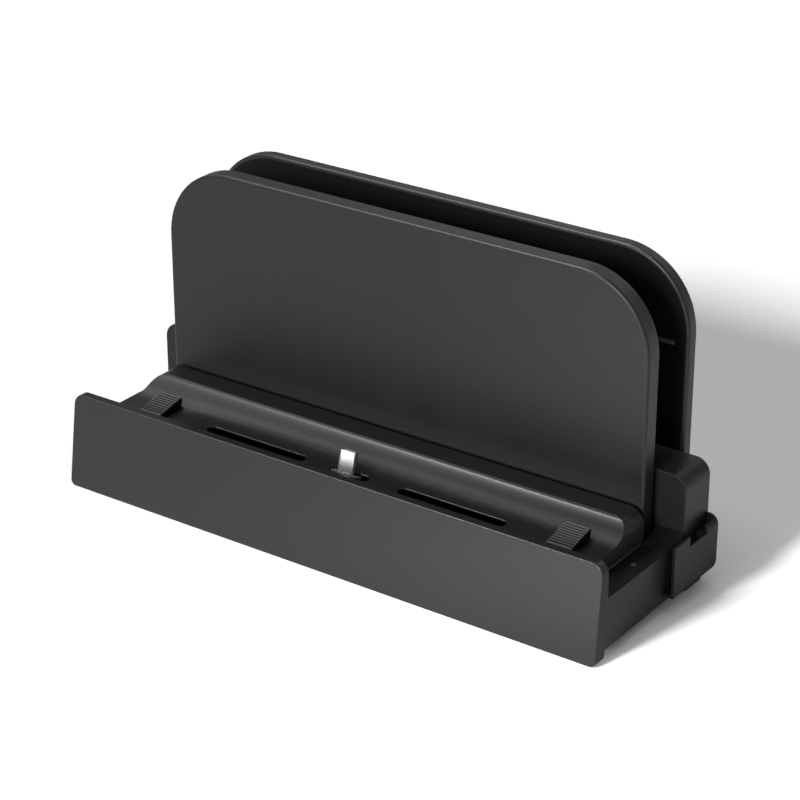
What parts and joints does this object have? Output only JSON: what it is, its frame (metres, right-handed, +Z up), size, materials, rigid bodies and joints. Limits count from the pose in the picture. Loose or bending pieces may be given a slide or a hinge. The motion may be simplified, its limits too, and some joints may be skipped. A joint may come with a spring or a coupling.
{
  "type": "handheld console dock",
  "caption": "Charging dock for a handheld game console: leaning front wall, scooped tray with an upright plug, and round-cornered panels with a storage slot between them.",
  "frame": {"origin": "on the table under the middle of the whole dock", "axes": "+X along the front wall to the right as the console faces the user, +Y from the front wall to the rear panel, +Z up"},
  "size_m": [0.2642, 0.0919, 0.1323],
  "materials": {
    "shell_plastic": "fine moulded texture",
    "base_plastic": "fine moulded texture",
    "panel_plastic": "fine moulded texture",
    "liner_plastic": "smooth matte",
    "block_plastic": "fine moulded texture",
    "bracket_plastic": "fine moulded texture",
    "cover_plastic": "plain moulded",
    "carrier_plastic": "plain moulded",
    "insert_plastic": "plain moulded",
    "pad_rubber": "matte, toothed",
    "strip_rubber": "matte",
    "foot_rubber": "matte",
    "plug_steel": "bright formed sheet",
    "screw_steel": "plain",
    "board_laminate": "lacquered laminate",
    "lead_film": "flat film lead",
    "light_clear": "clear moulded pin"
  },
  "bodies": {
    "root": {"cradle_shell": "shell_plastic", "cradle_base": "cover_plastic", "cradle_screws": "screw_steel", "grip_pad_left": "pad_rubber", "grip_pad_right": "pad_rubber", "plug_shell": "plug_steel", "plug_insert": "insert_plastic", "plug_carrier": "carrier_plastic", "plug_board": "board_laminate", "plug_board_screws": "screw_steel", "status_light": "light_clear", "rear_base": "base_plastic", "rear_cover": "cover_plastic", "rear_screws": "screw_steel", "link_screws": "screw_steel", "front_panel": "panel_plastic", "front_panel_back": "liner_plastic", "panel_screws": "screw_steel", "rear_panel": "panel_plastic", "inlet_plate": "panel_plastic", "rear_panel_liner": "liner_plastic", "slot_strip": "strip_rubber", "rear_panel_screws": "screw_steel", "end_block_right": "block_plastic", "end_block_left": "block_plastic", "block_screws": "screw_steel", "side_bracket": "bracket_plastic", "bracket_screws": "screw_steel", "main_board": "board_laminate", "board_screws": "screw_steel", "inlet_shell": "plug_steel", "inlet_tongue": "insert_plastic", "inner_lead": "lead_film", "front_feet": "foot_rubber", "rear_feet": "foot_rubber"}
  },
  "joints": []
}
